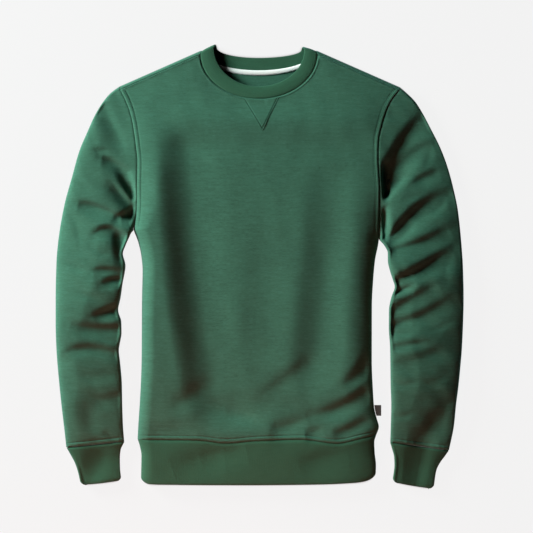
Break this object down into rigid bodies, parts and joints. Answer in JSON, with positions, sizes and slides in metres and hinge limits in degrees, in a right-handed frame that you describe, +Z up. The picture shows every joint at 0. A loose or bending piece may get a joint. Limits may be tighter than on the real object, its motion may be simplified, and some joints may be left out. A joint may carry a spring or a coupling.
{
  "type": "crewneck sweatshirt",
  "caption": "Crewneck sweatshirt laid on its back: hollow body and sleeves, ribbed collar, cuffs and hem, a V insert at the neck, a white tape inside the neck and a small side tab",
  "frame": {"origin": "middle of the bounding box in X and Y, at the floor that the back rests on", "axes": "+X to the wearer's left arm, +Y to the neck, +Z up out of the front"},
  "size_m": [0.651, 0.7102, 0.0347],
  "materials": {
    "fleece": "matte brushed-back jersey, dark green",
    "rib_knit": "matte rib knit, dark green",
    "neck_tape": "matte woven tape, white",
    "side_label": "matte woven tab, grey"
  },
  "bodies": {
    "root": {"front_panel": "fleece", "back_panel": "fleece", "v_insert": "fleece", "sleeve_r": "fleece", "sleeve_l": "fleece", "cuff_r": "rib_knit", "cuff_l": "rib_knit", "hem_rib": "rib_knit", "collar": "rib_knit", "neck_tape": "neck_tape", "side_label": "side_label"}
  },
  "joints": []
}
